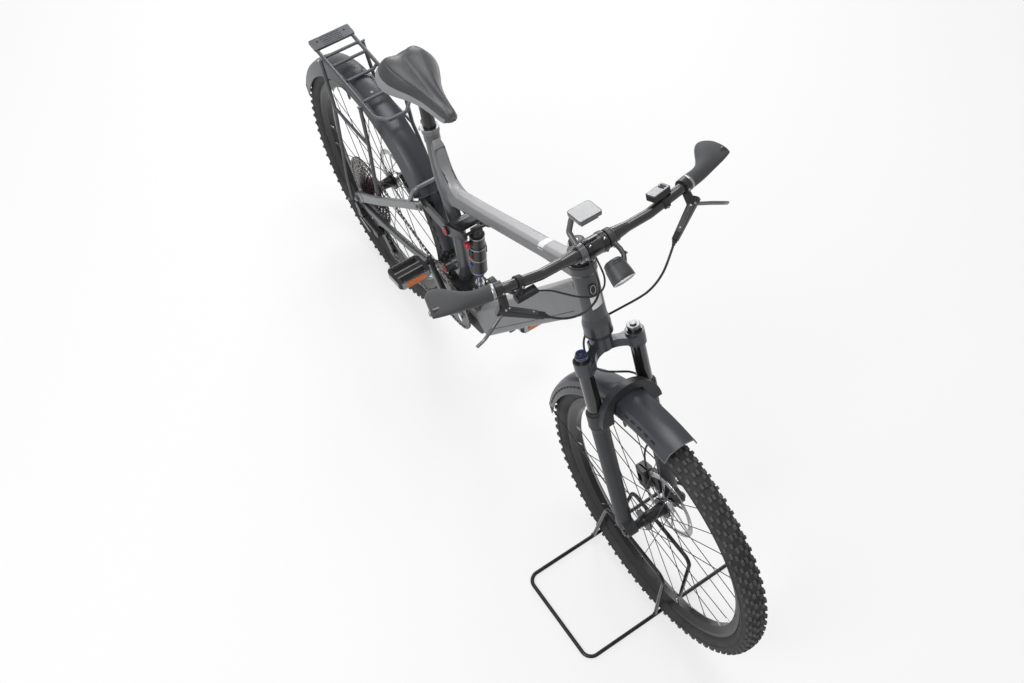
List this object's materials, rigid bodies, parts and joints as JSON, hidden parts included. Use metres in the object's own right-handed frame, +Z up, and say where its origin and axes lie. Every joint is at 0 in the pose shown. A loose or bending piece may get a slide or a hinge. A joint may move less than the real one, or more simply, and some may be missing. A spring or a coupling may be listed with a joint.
{
  "type": "electric mountain bike",
  "caption": "Full-suspension electric mountain bike with mudguards, rear rack and mid motor, steering and rolling in a bent-rod floor stand.",
  "frame": {"origin": "on the floor, midway between the two wheels, on the bicycle's middle plane", "axes": "+X the way it rides, +Y to the rider's left, +Z up"},
  "size_m": [1.972, 0.7102, 1.1685],
  "materials": {
    "tyre": "matt",
    "rim": "satin",
    "spoke": "satin",
    "hub": "satin",
    "rotor": "brushed",
    "stand": "semi-gloss",
    "frame_paint": "satin",
    "fork_paint": "matt",
    "stanchion": "gloss",
    "black_metal": "satin",
    "black_plastic": "matt",
    "grey_plastic": "matt",
    "rubber": "matt",
    "steel": "brushed",
    "axle_steel": "satin",
    "caliper": "satin",
    "chain_steel": "brushed",
    "saddle_cover": "matt",
    "lamp": "gloss",
    "screen": "gloss",
    "hose": "satin"
  },
  "bodies": {
    "front_end": {"display_stand": "stand", "fork_crown": "fork_paint", "fork_stanchions": "stanchion", "fork_lowers": "fork_paint", "front_axle": "axle_steel", "front_caliper": "caliper", "front_mudguard": "grey_plastic", "mudguard_stays": "black_metal", "stem": "black_metal", "handlebar": "black_metal", "grip_right": "rubber", "grip_left": "rubber", "brake_lever_right": "black_metal", "brake_lever_left": "black_metal", "lever_blade_right": "black_metal", "lever_blade_left": "black_metal", "shifter": "black_plastic", "drive_remote": "black_plastic", "display": "screen", "headlight": "lamp", "hose_front": "hose", "hose_rear": "hose", "shift_cable": "hose"},
    "front_wheel": {"front_tyre": "tyre", "front_rim": "rim", "front_spokes": "spoke", "front_hub": "hub", "front_rotor": "rotor"},
    "frame": {"head_tube": "frame_paint", "top_tube": "frame_paint", "down_tube": "frame_paint", "seat_tube": "frame_paint", "motor": "black_plastic", "rocker_link": "black_metal", "shock_body": "black_metal", "shock_shaft": "steel", "seat_stays": "frame_paint", "chain_stays": "frame_paint", "rear_axle": "axle_steel", "rear_caliper": "caliper", "derailleur": "black_metal", "chain": "chain_steel", "rear_mudguard": "grey_plastic", "rack": "black_metal", "rack_legs": "black_metal", "seat_clamp": "black_metal", "seatpost": "black_metal", "saddle_rails": "steel", "saddle": "saddle_cover"},
    "rear_wheel": {"rear_tyre": "tyre", "rear_rim": "rim", "rear_spokes": "spoke", "rear_hub": "hub", "cassette": "steel", "rear_rotor": "rotor"},
    "crankset": {"crank_arms": "black_metal", "chainring": "steel"},
    "right_pedal": {"pedal_right": "black_plastic"},
    "left_pedal": {"pedal_left": "black_plastic"}
  },
  "joints": [
    {"name": "steering", "type": "hinge", "parent": "front_end", "child": "frame", "pos_m": [0.32672, 0, 0.92218], "axis": [-0.3907, 0, 0.9205], "range_deg": [-60, 60]},
    {"name": "front_wheel_spin", "type": "hinge", "parent": "front_end", "child": "front_wheel", "pos_m": [0.615, 0, 0.371], "axis": [0, 1, 0], "continuous": true},
    {"name": "rear_wheel_spin", "type": "hinge", "parent": "frame", "child": "rear_wheel", "pos_m": [-0.615, 0, 0.371], "axis": [0, 1, 0], "continuous": true},
    {"name": "crank_spin", "type": "hinge", "parent": "frame", "child": "crankset", "pos_m": [-0.165, 0, 0.352], "axis": [0, 1, 0], "continuous": true},
    {"name": "right_pedal_spin", "type": "hinge", "parent": "crankset", "child": "right_pedal", "pos_m": [-0.22494, -0.143, 0.50035], "axis": [0, 1, 0], "continuous": true},
    {"name": "left_pedal_spin", "type": "hinge", "parent": "crankset", "child": "left_pedal", "pos_m": [-0.10506, 0.143, 0.20365], "axis": [0, 1, 0], "continuous": true}
  ]
}
